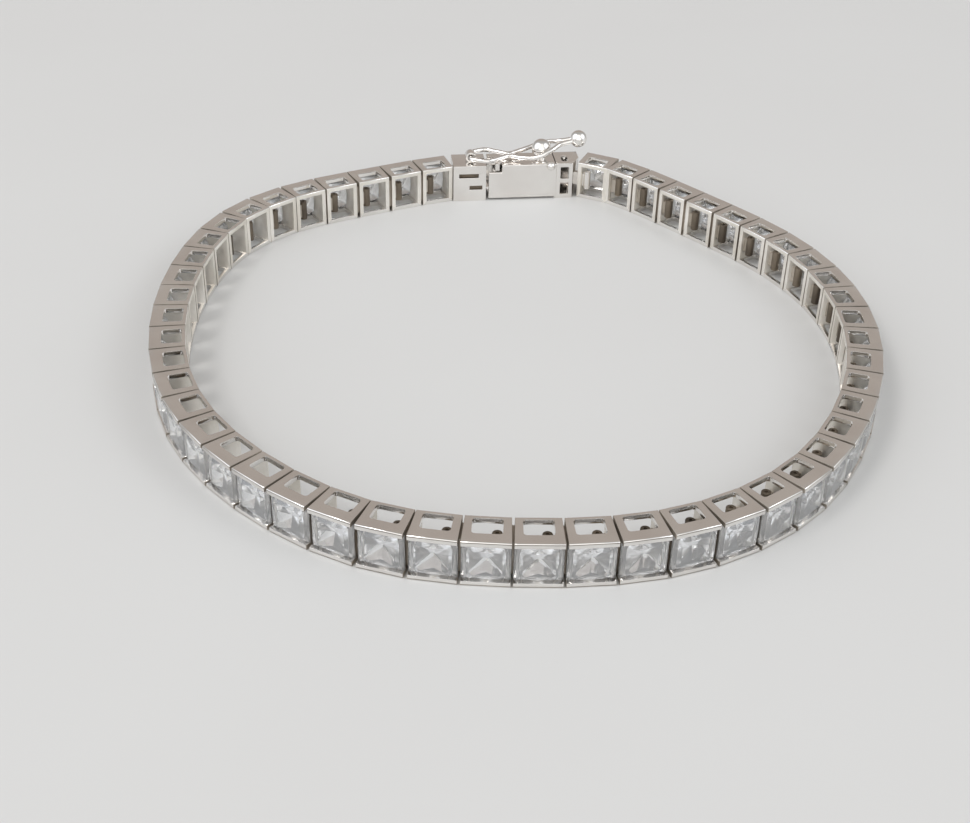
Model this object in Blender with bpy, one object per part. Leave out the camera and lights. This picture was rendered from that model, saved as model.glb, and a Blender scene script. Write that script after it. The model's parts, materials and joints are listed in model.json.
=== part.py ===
"""Square-stone tennis bracelet, closed, standing on its lower edge.

Fifty box links hold one square stone each and run in a closed loop. A box
clasp with a sprung tongue and a figure-of-eight safety latch closes it.
Units are metres, +Z is up, and the loop's bounding box stands centred on the
origin.
"""
import math

import bmesh
import bpy
import numpy as np
from mathutils import Matrix, Vector

MM = 0.001

# Links, measured along the chain, through it (stone to wrist) and up
LINKS_PER_HALF = 25
LINK_PITCH = 3.4 * MM
LINK_GAP = 0.10 * MM            # between neighbours at the stone side
LINK_TAPER = 0.12 * MM          # each end draws in this far at the wrist side
LINK_DEPTH = 2.85 * MM
LINK_HEIGHT = 3.7 * MM
PLATE = 0.40 * MM               # the flat sides above and below the stone
END_WALL = 0.50 * MM
SEAT_WALL = 0.10 * MM           # what is left of the end wall beside the stone

# Windows sawn through the flat sides
WINDOW_STONE_BORDER = 0.97 * MM
WINDOW_WRIST_BORDER = 0.30 * MM
WINDOW_END_BORDER = 0.64 * MM
WINDOW_CORNER = 0.16 * MM

# Stones: a square step with a table, crown, girdle and pavilion
TABLE_SHARE = 0.68
TABLE_RECESS = 0.04 * MM
CROWN = 0.40 * MM
GIRDLE = 0.10 * MM
PAVILION = 1.45 * MM
STONE_BITE = 0.03 * MM          # the girdle's grip in its seat, at the sides
STONE_HEIGHT = 3.04 * MM        # its upper and lower edges go further in

# Hinge lugs: a web with a round knuckle inside the next link
KNUCKLE_RADIUS = 0.30 * MM
KNUCKLE_SIDES = 8
KNUCKLE_INSET = 0.90 * MM       # from the wrist side of the link
KNUCKLE_DROP = 0.14 * MM        # below the flat sides' inner faces
WEB = 0.40 * MM
WEB_DROP = 0.60 * MM
LUG_CLEARANCE = 0.12 * MM
SLOT_SWING = 0.14 * MM          # more room beside the web, for the bend

# Clasp, measured along its own length from the left-hand hinge line
CLASP_DEPTH = 3.0 * MM
CLASP_WALL = 0.38 * MM
CLASP_END_GAP = 0.32 * MM       # hinge line to the first metal
BLOCK_LENGTH = 3.26 * MM        # the tongue's base
MOUTH_GAP = 0.25 * MM           # tongue's base to the box
BOX_LENGTH = 6.8 * MM
END_FRAME_LENGTH = 2.35 * MM    # beyond the box's end
BOX_FOOT = 0.20 * MM            # the box clears the surface below it
END_FRAME_TAPER = 0.75 * MM     # drawn in on the wrist side, for the bend there
SLIT_HEIGHT = 0.42 * MM

CLASP_LENGTH = 2 * CLASP_END_GAP + BLOCK_LENGTH + MOUTH_GAP + BOX_LENGTH + END_FRAME_LENGTH

# Tongue: a strip folded back on itself, with a thumb tab in a notch
STRIP = 0.28 * MM
TONGUE_REACH = 5.2 * MM
TONGUE_WIDTH = 1.6 * MM
TONGUE_SPREAD = 1.25 * MM
NOTCH_LENGTH = 1.3 * MM
NOTCH_WIDTH = 0.95 * MM
TAB_CLEARANCE = 0.15 * MM
TAB_RISE = 0.12 * MM            # above the box's top

# Safety latch, its hinge tube, its snap ball and the round head on the box
WIRE_RADIUS = 0.23 * MM
WIRE_SIDES = 6
HINGE_AT = 2.15 * MM            # from the left-hand hinge line
HINGE_TUBE = 0.52 * MM          # outer radius
HINGE_BORE = 0.32 * MM
HINGE_TUBE_LENGTH = 0.90 * MM
HINGE_SIDES = 12
HINGE_SINK = 0.06 * MM
SNAP_BALL = 0.97 * MM
SNAP_BALL_RISE = 1.20 * MM      # centre above the box's top
SNAP_NECK = 0.42 * MM
SNAP_FROM_END = 1.43 * MM       # from the box's right-hand end
LATCH_REACH = 10.72 * MM        # hinge's axis to the end ball
LATCH_BALL = 0.84 * MM
LATCH_BALL_RISE = 1.52 * MM     # above the hinge's axis
WAIST_BALL = 0.34 * MM
HEAD_RADIUS = 0.43 * MM
HEAD_FROM_END = 0.65 * MM
HEAD_DROP = 0.15 * MM
BALL_SIDES = 12
BALL_RINGS = 8

# Figure of eight: the place of each point as a share of the reach to the end
# ball, the half width as a share of the widest, and the rise above the
# hinge's axis as a share of the ball's rise
LATCH_HALF_WIDTH = 1.40 * MM
LATCH_SHAPE = [
    {"along": 0.00, "wide": 0.58, "rise": 0.00},
    {"along": 0.08, "wide": 0.88, "rise": 0.00},
    {"along": 0.16, "wide": 1.00, "rise": 0.00},
    {"along": 0.27, "wide": 0.52, "rise": 0.00},
    {"along": 0.36, "wide": 0.20, "rise": 0.00},
    {"along": 0.46, "wide": 0.60, "rise": 0.02},
    {"along": 0.57, "wide": 0.97, "rise": 0.12},
    {"along": 0.66, "wide": 1.00, "rise": 0.34},
    {"along": 0.75, "wide": 0.72, "rise": 0.58},
    {"along": 0.82, "wide": 0.34, "rise": 0.74},
    {"along": 0.92, "wide": 0.22, "rise": 0.88},
    {"along": 1.00, "wide": 0.18, "rise": 1.00},
]

# Route of the hinge lines seen from above, in millimetres round the loop's
# middle; the whole curve is sized so that the links and the clasp close it
ROUTE = [
    (6.8, 30.0), (10.0, 28.5), (13.2, 25.7), (18.1, 20.5), (23.9, 13.5), (27.3, 5.7),
    (27.9, -4.5), (25.2, -14.3), (19.8, -22.7), (10.3, -28.7), (0.0, -30.1),
    (-9.2, -28.9), (-17.7, -23.8), (-24.6, -15.3), (-27.7, -5.6), (-28.1, 5.6),
    (-25.0, 16.2), (-21.1, 20.5), (-14.2, 24.6), (-7.0, 28.1), (1.8, 30.1),
]
ROUTE_STEPS = 60                # curve points between two route points

METAL = {"colour": (0.80, 0.78, 0.76), "roughness": 0.16, "metallic": 1.0}


def clear_scene():
    for thing in list(bpy.data.objects):
        bpy.data.objects.remove(thing, do_unlink=True)


def make_material(name, colour, roughness, metallic):
    material = bpy.data.materials.new(name)
    material.use_nodes = True
    shader = material.node_tree.nodes["Principled BSDF"]
    shader.inputs["Base Color"].default_value = (*colour, 1.0)
    shader.inputs["Roughness"].default_value = roughness
    shader.inputs["Metallic"].default_value = metallic
    return material


# Mesh pieces

def make_mesh(vertices, faces):
    mesh = bpy.data.meshes.new("piece")
    mesh.from_pydata([tuple(v) for v in vertices], [], faces)
    mesh.update()
    return mesh


def prism(outline, low, high):
    """A straight solid on a counter-clockwise outline in X and Y."""
    count = len(outline)
    vertices = [(x, y, low) for x, y in outline] + [(x, y, high) for x, y in outline]
    faces = [tuple(reversed(range(count))), tuple(range(count, 2 * count))]
    for i in range(count):
        j = (i + 1) % count
        faces.append((i, j, count + j, count + i))
    return make_mesh(vertices, faces)


def block(low, high):
    (x0, y0, z0), (x1, y1, z1) = low, high
    return prism([(x0, y0), (x1, y0), (x1, y1), (x0, y1)], z0, z1)


def along_y(mesh):
    """Lays a prism made in X and Y down, so that its outline is in X and Z."""
    mesh.transform(Matrix.Rotation(math.pi / 2, 4, "X"))
    return mesh


def ball(centre, radius, sides=BALL_SIDES, rings=BALL_RINGS):
    builder = bmesh.new()
    bmesh.ops.create_uvsphere(builder, u_segments=sides, v_segments=rings, radius=radius,
                              matrix=Matrix.Translation(centre))
    mesh = bpy.data.meshes.new("piece")
    builder.to_mesh(mesh)
    builder.free()
    return mesh


def circle(centre, radius, sides, start=0.0):
    return [(centre[0] + radius * math.cos(start + 2 * math.pi * i / sides),
             centre[1] + radius * math.sin(start + 2 * math.pi * i / sides)) for i in range(sides)]


def rounded_rectangle(x0, x1, y0, y1, corner):
    """A rectangle whose corners are cut at 45 degrees."""
    return [(x0 + corner, y0), (x1 - corner, y0), (x1, y0 + corner), (x1, y1 - corner),
            (x1 - corner, y1), (x0 + corner, y1), (x0, y1 - corner), (x0, y0 + corner)]


def sweep(path, radius, sides):
    """A capped tube along an open path of points, with no twist."""
    points = [Vector(p) for p in path]
    vertices, faces = [], []
    side_axis = None
    for i, point in enumerate(points):
        before = points[max(i - 1, 0)]
        after = points[min(i + 1, len(points) - 1)]
        forward = (after - before).normalized()
        if side_axis is None:
            side_axis = forward.cross(Vector((0, 0, 1))).normalized()
        side_axis = (side_axis - forward * side_axis.dot(forward)).normalized()
        up_axis = side_axis.cross(forward).normalized()
        for k in range(sides):
            angle = 2 * math.pi * k / sides
            vertices.append(point + radius * (math.cos(angle) * side_axis + math.sin(angle) * up_axis))
    for i in range(len(points) - 1):
        for k in range(sides):
            a, b = i * sides + k, i * sides + (k + 1) % sides
            faces.append((a, a + sides, b + sides, b))
    faces.append(tuple(range(sides)))
    faces.append(tuple(reversed(range((len(points) - 1) * sides, len(points) * sides))))
    mesh = make_mesh(vertices, faces)
    return facing_out(mesh)


def facing_out(mesh):
    builder = bmesh.new()
    builder.from_mesh(mesh)
    bmesh.ops.recalc_face_normals(builder, faces=builder.faces)
    builder.to_mesh(mesh)
    builder.free()
    return mesh


def combine(base, others, operation):
    """One mesh from a base and several others, by an exact boolean."""
    host = bpy.data.objects.new("host", base)
    bpy.context.scene.collection.objects.link(host)
    group = bpy.data.collections.new("operands")
    bpy.context.scene.collection.children.link(group)
    for mesh in others:
        group.objects.link(bpy.data.objects.new("operand", mesh))
    modifier = host.modifiers.new("combine", "BOOLEAN")
    modifier.solver = "EXACT"
    modifier.operation = operation
    modifier.operand_type = "COLLECTION"
    modifier.collection = group
    modifier.use_hole_tolerant = False
    graph = bpy.context.evaluated_depsgraph_get()
    result = bpy.data.meshes.new_from_object(host.evaluated_get(graph))
    for thing in list(group.objects) + [host]:
        bpy.data.objects.remove(thing, do_unlink=True)
    bpy.data.collections.remove(group)
    return result


def union(base, others):
    return combine(base, others, "UNION")


def cut(base, cutters):
    return combine(base, cutters, "DIFFERENCE")


def moved(mesh, matrix):
    copy = mesh.copy()
    copy.transform(matrix)
    return copy


# Links. Local X runs along the chain, local Y points to the wrist.

LINK_LENGTH = LINK_PITCH - LINK_GAP
STONE_FACE = -LINK_DEPTH / 2
WRIST_FACE = LINK_DEPTH / 2
CAVITY_HALF = LINK_LENGTH / 2 - END_WALL
KNUCKLE_Y = WRIST_FACE - KNUCKLE_INSET
KNUCKLE_X = LINK_PITCH - CAVITY_HALF + LUG_CLEARANCE + KNUCKLE_RADIUS
LUG_LOW = PLATE + KNUCKLE_DROP
LUG_HIGH = LINK_HEIGHT - PLATE - KNUCKLE_DROP
WEB_LOW = PLATE + WEB_DROP
WEB_HIGH = LINK_HEIGHT - PLATE - WEB_DROP
OVERRUN = 1.0 * MM              # how far a cutter runs past a face


def stone():
    """A square stone seated in the link's open face, its table outward."""
    half = LINK_LENGTH / 2 - SEAT_WALL + STONE_BITE
    table = half * TABLE_SHARE
    middle = (half + table) / 2
    table_y = STONE_FACE + TABLE_RECESS
    girdle_y = table_y + CROWN
    back_y = girdle_y + GIRDLE
    culet_y = back_y + PAVILION
    break_y = back_y + PAVILION * 0.55
    break_half = half * 0.52
    centre = LINK_HEIGHT / 2

    upright = STONE_HEIGHT / (2 * half)

    def ring(size, y):
        rise = size * upright
        return [(-size, y, centre - rise), (size, y, centre - rise),
                (size, y, centre + rise), (-size, y, centre + rise)]

    def cross(size, y):
        rise = size * upright
        return [(0, y, centre - rise), (size, y, centre), (0, y, centre + rise), (-size, y, centre)]

    vertices = (ring(table, table_y) + cross(middle, table_y + CROWN * 0.42)
                + ring(half, girdle_y) + ring(half, back_y)
                + cross(break_half, break_y) + [(0, culet_y, centre)])
    crown, girdle, back, breaks, culet = 4, 8, 12, 16, 20
    faces = [(0, 1, 2, 3)]
    for i in range(4):
        j = (i + 1) % 4
        faces += [(i, crown + i, j), (i, girdle + i, crown + i), (j, crown + i, girdle + j),
                  (girdle + i, girdle + j, crown + i), (girdle + i, back + i, back + j, girdle + j),
                  (back + i, breaks + i, back + j), (back + i, culet, breaks + i),
                  (back + j, breaks + i, culet)]
    return facing_out(make_mesh(vertices, faces))


def lug(longer=0.0):
    """The web and knuckle that reach back into the link before this one."""
    root = -CAVITY_HALF - END_WALL / 2 + longer
    half = WEB / 2
    web = block((-KNUCKLE_X, KNUCKLE_Y - half, WEB_LOW), (root, KNUCKLE_Y + half, WEB_HIGH))
    knuckle = prism(circle((-KNUCKLE_X, KNUCKLE_Y), KNUCKLE_RADIUS, KNUCKLE_SIDES,
                           math.pi / KNUCKLE_SIDES), LUG_LOW, LUG_HIGH)
    return union(knuckle, [web])


def link(slotted):
    """A whole link; a slotted one lets the next piece's lug in with play."""
    far = LINK_LENGTH / 2
    near = far - LINK_TAPER
    body = prism([(-far, STONE_FACE), (far, STONE_FACE), (near, WRIST_FACE), (-near, WRIST_FACE)],
                 0, LINK_HEIGHT)
    seat_half = far - SEAT_WALL
    seat_y = STONE_FACE + TABLE_RECESS + CROWN + GIRDLE / 2
    seat = block((-seat_half, STONE_FACE - OVERRUN, PLATE),
                 (seat_half, seat_y, LINK_HEIGHT - PLATE))
    cavity = block((-CAVITY_HALF, seat_y - GIRDLE / 4, PLATE),
                   (CAVITY_HALF, WRIST_FACE + OVERRUN, LINK_HEIGHT - PLATE))
    window_half = far - WINDOW_END_BORDER
    window = prism(rounded_rectangle(-window_half, window_half, STONE_FACE + WINDOW_STONE_BORDER,
                                     WRIST_FACE - WINDOW_WRIST_BORDER, WINDOW_CORNER),
                   -OVERRUN, LINK_HEIGHT + OVERRUN)
    body = cut(body, [seat])
    body = cut(body, [cavity])
    body = cut(body, [window])
    if slotted:
        body = cut(body, [lug_slot(CAVITY_HALF - OVERRUN / 4, far + OVERRUN, KNUCKLE_Y)])
    body = union(body, [stone()])
    return union(body, [lug()])


def lug_slot(x0, x1, middle_y):
    """A cutter for the hole that a lug passes through with play."""
    half = WEB / 2 + LUG_CLEARANCE + SLOT_SWING
    return block((x0, middle_y - half, WEB_LOW - LUG_CLEARANCE),
                 (x1, middle_y + half, WEB_HIGH + LUG_CLEARANCE))


# Route

def closed_curve(points, steps):
    """A closed cubic spline through the points, as many short steps."""
    knots = np.array(points, dtype=float)
    count = len(knots)
    spans = np.linalg.norm(np.roll(knots, -1, axis=0) - knots, axis=1)
    system = np.zeros((count, count))
    known = np.zeros((count, 2))
    for i in range(count):
        before, after, following = spans[i - 1], spans[i], (i + 1) % count
        system[i, i - 1] += before
        system[i, i] += 2 * (before + after)
        system[i, following] += after
        known[i] = 6 * ((knots[following] - knots[i]) / after - (knots[i] - knots[i - 1]) / before)
    bend = np.linalg.solve(system, known)
    curve = []
    for i in range(count):
        j, span = (i + 1) % count, spans[i]
        for step in range(steps):
            t = span * step / steps
            left = span - t
            curve.append((bend[i] * left ** 3 + bend[j] * t ** 3) / (6 * span)
                         + (knots[i] / span - bend[i] * span / 6) * left
                         + (knots[j] / span - bend[j] * span / 6) * t)
    return np.array(curve)


def chord(curve, index, point, length):
    """The next point on the curve at a straight distance from this one."""
    for count in range(1, len(curve)):
        ahead = curve[(index + count) % len(curve)]
        if np.linalg.norm(ahead - point) < length:
            continue
        behind = curve[(index + count - 1) % len(curve)]
        low, high = 0.0, 1.0
        for _ in range(40):
            share = (low + high) / 2
            if np.linalg.norm(behind + (ahead - behind) * share - point) < length:
                low = share
            else:
                high = share
        return (index + count - 1) % len(curve), behind + (ahead - behind) * high, count - 1
    raise ValueError("the route is too small for its clasp")


def hinge_lines():
    """Hinge points from the clasp's left end round to its right end."""
    base = closed_curve(ROUTE, ROUTE_STEPS) * MM
    low, high = 0.3, 3.0
    for _ in range(60):
        size = (low + high) / 2
        curve = base * size
        index, point, passed = 0, curve[0], 0
        points = [point]
        for _ in range(2 * LINKS_PER_HALF):
            index, point, steps = chord(curve, index, point, LINK_PITCH)
            passed += steps
            points.append(point)
        passed += chord(curve, index, point, CLASP_LENGTH)[2]
        if passed >= len(curve) - 1:
            low = size
        else:
            high = size
    points.reverse()
    return points


def link_place(start, end):
    """Places a link between two hinge points, local Y to the wrist."""
    middle = (start + end) / 2
    along = (end - start) / np.linalg.norm(end - start)
    angle = math.atan2(along[1], along[0])
    return Matrix.Translation((middle[0], middle[1], 0)) @ Matrix.Rotation(angle, 4, "Z")


def chain(hinges):
    """Links between the hinge points, joined by their lugs into one body."""
    plain, last = link(slotted=False), link(slotted=True)
    count = len(hinges) - 1
    pieces = [moved(last if i == count - 1 else plain, link_place(hinges[i], hinges[i + 1]))
              for i in range(count)]
    return union(pieces[0], pieces[1:])


# Clasp. Local X runs from the left hinge line to the right one, local Y
# points away from the wrist.

CLASP_TOP = LINK_HEIGHT
CLASP_HALF = CLASP_DEPTH / 2
BLOCK_START = CLASP_END_GAP
BLOCK_END = BLOCK_START + BLOCK_LENGTH
BOX_START = BLOCK_END + MOUTH_GAP
BOX_END = BOX_START + BOX_LENGTH
FRAME_END = BOX_END + END_FRAME_LENGTH
HINGE_Z = CLASP_TOP + HINGE_TUBE - HINGE_SINK
INSIDE_HALF = CLASP_HALF - CLASP_WALL
INSIDE_TOP = CLASP_TOP - CLASP_WALL
INSIDE_FLOOR = BOX_FOOT + CLASP_WALL
NOTCH_FLOOR = INSIDE_TOP - CLASP_WALL
SNAP_AT = BOX_END - SNAP_FROM_END


def tongue_strip():
    """The folded strip, with its thumb tab, as a side outline in X and Z."""
    low = INSIDE_FLOOR + STRIP
    tip = BLOCK_END + TONGUE_REACH
    root = BLOCK_END - CLASP_WALL / 2
    rise = TONGUE_SPREAD
    tab = BOX_START + NOTCH_LENGTH / 2
    outline = [(root, low), (tip, low), (tip + STRIP, low + STRIP), (tip, low + 2.2 * STRIP),
               (tab + STRIP, low + STRIP + rise), (tab, low + STRIP + rise),
               (tab, low + rise), (tip - 2 * STRIP, low + STRIP), (root, low + STRIP)]
    # A prism laid down with along_y turns its Y into Z and its Z into minus Y
    return along_y(prism(outline, -TONGUE_WIDTH / 2, TONGUE_WIDTH / 2))


def thumb_tab():
    """The strip's free end, bent up into the notch in the box's top."""
    tab = BOX_START + NOTCH_LENGTH / 2
    low = INSIDE_FLOOR + STRIP + TONGUE_SPREAD
    inside = -CLASP_HALF + NOTCH_WIDTH - TAB_CLEARANCE
    stem = block((tab + STRIP / 4, -INSIDE_HALF + TAB_CLEARANCE, low + STRIP / 4),
                 (tab + STRIP * 5 / 4, inside, CLASP_TOP))
    head = block((tab, -CLASP_HALF + TAB_CLEARANCE, NOTCH_FLOOR + TAB_CLEARANCE),
                 (tab + STRIP * 3 / 2, inside + TAB_CLEARANCE / 3, CLASP_TOP + TAB_RISE))
    return union(stem, [head])


def clasp_tongue():
    """The tongue with its base, where the left-hand chain hinges on."""
    base = block((BLOCK_START, -CLASP_HALF, 0), (BLOCK_END, CLASP_HALF, CLASP_TOP))
    hollow_start, hollow_end = BLOCK_START + CLASP_WALL, BLOCK_END - CLASP_WALL
    hollow = block((hollow_start, -INSIDE_HALF, PLATE), (hollow_end, INSIDE_HALF, CLASP_TOP - PLATE))
    slit_length = hollow_end - hollow_start - CLASP_WALL
    upper, lower = CLASP_TOP * 0.66, CLASP_TOP * 0.32
    slits = [
        block((hollow_start + CLASP_WALL / 2, -CLASP_HALF - OVERRUN, upper),
              (hollow_start + slit_length, 0, upper + SLIT_HEIGHT)),
        block((hollow_end - slit_length * 0.6, -CLASP_HALF - OVERRUN, lower),
              (hollow_end, 0, lower + SLIT_HEIGHT)),
    ]
    slot = lug_slot(BLOCK_START - OVERRUN, BLOCK_START + CLASP_WALL + OVERRUN / 4, -KNUCKLE_Y)
    base = cut(base, [hollow])
    base = cut(base, slits)
    base = cut(base, [slot])
    tube = along_y(prism(circle((HINGE_AT, HINGE_Z), HINGE_TUBE, HINGE_SIDES, math.pi / HINGE_SIDES),
                         -HINGE_TUBE_LENGTH / 2, HINGE_TUBE_LENGTH / 2))
    bore = along_y(prism(circle((HINGE_AT, HINGE_Z), HINGE_BORE, HINGE_SIDES, math.pi / HINGE_SIDES),
                         -HINGE_TUBE_LENGTH, HINGE_TUBE_LENGTH))
    base = union(base, [tube])
    base = cut(base, [bore])
    strip = union(tongue_strip(), [thumb_tab()])
    return union(base, [strip])


def clasp_box(lug_place):
    """The box that takes the tongue, with the right-hand chain's end frame.

    Its lug is bent to run straight into the last link.
    """
    box = block((BOX_START, -CLASP_HALF, BOX_FOOT), (BOX_END, CLASP_HALF, CLASP_TOP))
    inside = block((BOX_START - OVERRUN, -INSIDE_HALF, INSIDE_FLOOR),
                   (BOX_END - CLASP_WALL, INSIDE_HALF, INSIDE_TOP))
    notch = block((BOX_START - OVERRUN, -CLASP_HALF - OVERRUN, NOTCH_FLOOR),
                  (BOX_START + NOTCH_LENGTH, -CLASP_HALF + NOTCH_WIDTH, CLASP_TOP + OVERRUN))
    box = cut(box, [inside])
    box = cut(box, [notch])

    start = BOX_END - CLASP_WALL / 2
    half = LINK_DEPTH / 2
    frame = prism([(start, -half), (FRAME_END - END_FRAME_TAPER, -half), (FRAME_END, 0),
                   (FRAME_END, half), (start, half)], 0, CLASP_TOP)
    inner_start, inner_end = BOX_END + CLASP_WALL, FRAME_END - CLASP_WALL
    bar = CLASP_WALL / 2
    middle = CLASP_TOP / 2
    opening_end = inner_end - END_FRAME_TAPER
    hollow = prism([(inner_start, -half + CLASP_WALL), (opening_end, -half + CLASP_WALL),
                    (inner_end, 0), (inner_end, half - CLASP_WALL), (inner_start, half - CLASP_WALL)],
                   PLATE, CLASP_TOP - PLATE)
    openings = [block((inner_start, -half - OVERRUN, PLATE), (opening_end, 0, middle - bar)),
                block((inner_start, -half - OVERRUN, middle + bar), (opening_end, 0, CLASP_TOP - PLATE))]
    window = prism(rounded_rectangle(inner_start + bar, opening_end, -half + 2 * WINDOW_WRIST_BORDER,
                                     half - WINDOW_STONE_BORDER, WINDOW_CORNER),
                   middle, CLASP_TOP + OVERRUN)
    frame = cut(frame, [hollow])
    frame = cut(frame, openings)
    frame = cut(frame, [window])

    neck = prism(circle((SNAP_AT, 0), SNAP_NECK, BALL_SIDES, math.pi / BALL_SIDES),
                 CLASP_TOP - CLASP_WALL / 2, CLASP_TOP + SNAP_BALL_RISE - SNAP_BALL * 0.6)
    snap = ball((SNAP_AT, 0, CLASP_TOP + SNAP_BALL_RISE), SNAP_BALL)
    head = ball((BOX_END - HEAD_FROM_END, -CLASP_HALF - HEAD_RADIUS + CLASP_WALL * 0.8,
                 CLASP_TOP - HEAD_DROP), HEAD_RADIUS, 10, 6)
    body = union(box, [frame])
    body = union(body, [moved(lug(END_FRAME_TAPER), lug_place)])
    body = union(body, [neck])
    body = union(body, [snap])
    return union(body, [head])


def safety_latch():
    """A wire figure of eight on the hinge's axis, with its end ball."""
    reach = LATCH_REACH
    stations = [Vector((row["along"] * reach, row["wide"] * LATCH_HALF_WIDTH,
                        row["rise"] * LATCH_BALL_RISE))
                for row in LATCH_SHAPE]
    side = smooth_run(stations, 3)
    other = [Vector((p.x, -p.y, p.z)) for p in side]
    path = list(reversed(side)) + other
    wire = sweep(path, WIRE_RADIUS, WIRE_SIDES)
    waist = min(stations[1:-2], key=lambda p: p.y)
    middle = ball((waist.x, 0, 0), WAIST_BALL, 10, 6)
    end = ball((reach, 0, LATCH_BALL_RISE), LATCH_BALL)
    return union(union(wire, [middle]), [end])


def smooth_run(stations, steps):
    """Points on a smooth curve through the stations, in order."""
    points = []
    for i in range(len(stations) - 1):
        before = stations[max(i - 1, 0)]
        start, end = stations[i], stations[i + 1]
        after = stations[min(i + 2, len(stations) - 1)]
        for step in range(steps):
            t = step / steps
            points.append(0.5 * ((2 * start) + (end - before) * t
                                 + (2 * before - 5 * start + 4 * end - after) * t ** 2
                                 + (3 * start - before - 3 * end + after) * t ** 3))
    points.append(stations[-1])
    return points


# Assembly

def add_object(name, mesh, material, parent, place=None):
    mesh.name = name
    mesh.materials.clear()
    mesh.materials.append(material)
    thing = bpy.data.objects.new(name, mesh)
    bpy.context.scene.collection.objects.link(thing)
    thing.parent = parent
    thing.matrix_local = place or Matrix.Identity(4)
    return thing


def add_empty(name, parent=None, place=None):
    empty = bpy.data.objects.new(name, None)
    bpy.context.scene.collection.objects.link(empty)
    empty.parent = parent
    empty.matrix_local = place or Matrix.Identity(4)
    return empty


def centre_on_origin(root):
    """Moves the whole bracelet so that its box stands centred on the origin."""
    bpy.context.view_layer.update()
    corners = [thing.matrix_world @ vertex.co for thing in bpy.data.objects if thing.type == "MESH"
               for vertex in thing.data.vertices]
    middle = [(min(c[i] for c in corners) + max(c[i] for c in corners)) / 2 for i in (0, 1)]
    root.location = (-middle[0], -middle[1], -min(c.z for c in corners))


def main():
    clear_scene()
    metal = make_material("white_metal", **METAL)
    root = add_empty("bracelet")
    hinges = hinge_lines()
    add_object("chain_left", chain(hinges[:LINKS_PER_HALF + 1]), metal, root)
    add_object("chain_right", chain(hinges[LINKS_PER_HALF:]), metal, root)

    left, right = hinges[0], hinges[-1]
    angle = math.atan2(right[1] - left[1], right[0] - left[0])
    place = Matrix.Translation((left[0], left[1], 0)) @ Matrix.Rotation(angle, 4, "Z")
    clasp = add_empty("clasp", root, place)
    add_object("clasp_tongue", clasp_tongue(), metal, clasp)
    beyond = link_place(right, 2 * right - hinges[-2])
    add_object("clasp_box", clasp_box(place.inverted() @ beyond), metal, clasp)
    add_object("safety_latch", safety_latch(), metal, clasp,
               Matrix.Translation((HINGE_AT, 0, HINGE_Z)))
    centre_on_origin(root)


main()
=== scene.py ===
"""Looks of the square-stone tennis bracelet, built round its frame.

Pieces are worked out in millimetres and scaled to metres as they are added.
Each link's local X runs along the chain, local Y to the wrist and Z up.
"""
import json
import math

import bmesh
import bpy
import numpy as np
from mathutils import Matrix, Vector

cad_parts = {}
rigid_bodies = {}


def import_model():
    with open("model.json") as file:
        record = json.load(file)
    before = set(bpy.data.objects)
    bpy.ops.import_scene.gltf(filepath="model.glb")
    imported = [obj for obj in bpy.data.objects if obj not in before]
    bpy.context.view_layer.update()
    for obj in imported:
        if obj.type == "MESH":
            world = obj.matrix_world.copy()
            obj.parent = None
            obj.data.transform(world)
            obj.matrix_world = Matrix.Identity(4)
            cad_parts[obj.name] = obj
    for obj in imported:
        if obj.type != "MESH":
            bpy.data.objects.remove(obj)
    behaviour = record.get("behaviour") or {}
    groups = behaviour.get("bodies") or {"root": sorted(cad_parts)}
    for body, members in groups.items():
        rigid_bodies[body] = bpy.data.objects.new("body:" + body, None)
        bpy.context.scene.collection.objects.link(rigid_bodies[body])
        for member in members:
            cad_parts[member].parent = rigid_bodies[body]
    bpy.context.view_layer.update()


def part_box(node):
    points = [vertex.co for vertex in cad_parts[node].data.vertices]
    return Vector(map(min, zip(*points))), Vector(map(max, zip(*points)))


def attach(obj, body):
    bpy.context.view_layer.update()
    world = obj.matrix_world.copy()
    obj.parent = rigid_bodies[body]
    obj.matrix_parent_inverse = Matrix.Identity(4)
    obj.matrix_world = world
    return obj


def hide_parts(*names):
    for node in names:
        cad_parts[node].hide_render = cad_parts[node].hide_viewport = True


MM = 0.001

# Links
LINKS_PER_HALF = 25
LINK_PITCH = 3.4
LINK_GAP = 0.05
SOLID_LINK_GAP = 0.10           # as the frame's solids have it
LINK_TAPER = 0.12
LINK_DEPTH = 2.85
LINK_HEIGHT = 3.7
PLATE = 0.40
END_WALL = 0.50
WINDOW_STONE_BORDER = 0.97
WINDOW_WRIST_BORDER = 0.30
WINDOW_END_BORDER = 0.64
WINDOW_CORNER = 0.22
EDGE = 0.08                     # width of the rounded long edges
INNER_EDGE = 0.03               # and of the windows' and ends'
SEAM = 0.055                    # joint line along the rails in front
SEAM_AT = 0.10                  # its middle, from the flat side
OVERLAP = 0.02                  # of touching cuts, and the margin of the looks
REACH = 1.1                     # of a look's zone, in sizes of what it is for
FACING = 0.2                    # a normal's least share along X to face the next link
SKIN = 0.01                     # faces deeper than this aren't on the front

# Stones
STONE_HALF_LENGTH = 1.665
STONE_HALF_HEIGHT = 1.50
STONE_TABLE = 0.66              # shares of the half sizes
STONE_TABLE_CORNER = 0.16
CROWN_CORNER = (0.88, 0.52)     # shares of the half sizes and of the crown
CROWN_SIDE = (0.91, 0.50)
STONE_PAVILION = [              # shares of the half sizes, depths below the girdle
    (0.84, 0.36), (0.66, 0.66), (0.50, 0.88), (0.36, 1.07),
    (0.24, 1.22), (0.12, 1.36), (0.0, 1.46),
]
STONE_FLAT = 0.5                # degrees between facets that count as one
TABLE_RECESS = 0.04
CROWN = 0.40
GIRDLE = 0.10

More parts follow.
